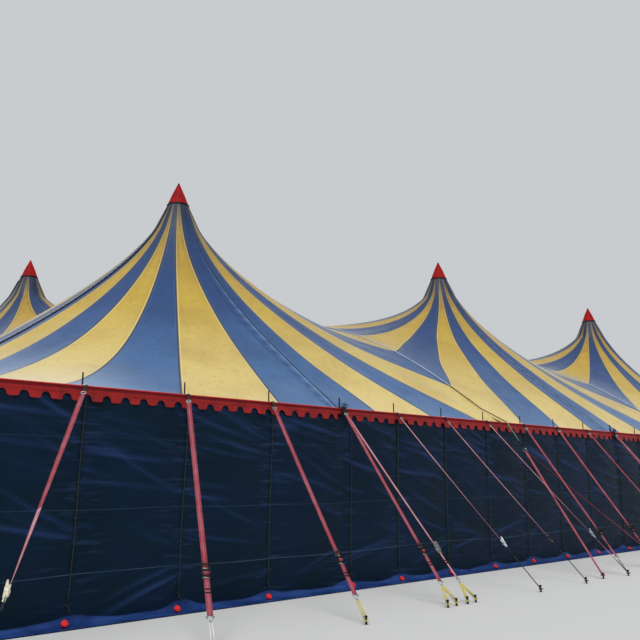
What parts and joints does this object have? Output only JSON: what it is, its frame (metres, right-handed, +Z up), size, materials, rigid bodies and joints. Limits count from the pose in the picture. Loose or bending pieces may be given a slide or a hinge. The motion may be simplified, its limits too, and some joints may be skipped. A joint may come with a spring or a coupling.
{
  "type": "circus big top tent",
  "caption": "Rectangular pole tent with steep king-pole peaks, striped laced canopy, dark walls, scalloped hem and ratchet-strap guys.",
  "frame": {"origin": "on the ground under the middle of the tent", "axes": "+X along the tent, -Y out of the long front side, +Z up"},
  "size_m": [39.4456, 25.873, 9.2409],
  "materials": {
    "canopy_cloth": "PVC coated cloth, yellow and blue stripes",
    "wall_cloth": "PVC coated cloth, navy, wrinkled",
    "red_cloth": "PVC coated cloth, red",
    "strap_webbing": "woven polyester webbing, faded red",
    "king_pole_steel": "black paint, satin",
    "side_pole_steel": "galvanised, dull",
    "valley_rope": "braided rope, dark green"
  },
  "bodies": {
    "root": {"canopy_end_left": "canopy_cloth", "canopy_bay_left": "canopy_cloth", "canopy_bay_right": "canopy_cloth", "canopy_end_right": "canopy_cloth", "king_pole_front_left": "king_pole_steel", "peak_cap_front_left": "red_cloth", "king_pole_front_middle": "king_pole_steel", "peak_cap_front_middle": "red_cloth", "king_pole_front_right": "king_pole_steel", "peak_cap_front_right": "red_cloth", "king_pole_back_left": "king_pole_steel", "peak_cap_back_left": "red_cloth", "king_pole_back_middle": "king_pole_steel", "peak_cap_back_middle": "red_cloth", "king_pole_back_right": "king_pole_steel", "peak_cap_back_right": "red_cloth", "wall_front_end_left": "wall_cloth", "wall_front_bay_left": "wall_cloth", "wall_front_bay_right": "wall_cloth", "wall_front_end_right": "wall_cloth", "wall_back_end_left": "wall_cloth", "wall_back_bay_left": "wall_cloth", "wall_back_bay_right": "wall_cloth", "wall_back_end_right": "wall_cloth", "wall_left": "wall_cloth", "wall_right": "wall_cloth", "side_poles_front": "side_pole_steel", "hem_and_guys_front": "strap_webbing", "valance_front": "red_cloth", "side_poles_back": "side_pole_steel", "hem_and_guys_back": "strap_webbing", "valance_back": "red_cloth", "side_poles_left": "side_pole_steel", "hem_and_guys_left": "strap_webbing", "valance_left": "red_cloth", "side_poles_right": "side_pole_steel", "hem_and_guys_right": "strap_webbing", "valance_right": "red_cloth", "valley_rope_front_left": "valley_rope", "valley_rope_front_right": "valley_rope", "valley_rope_back_left": "valley_rope", "valley_rope_back_right": "valley_rope"}
  },
  "joints": []
}
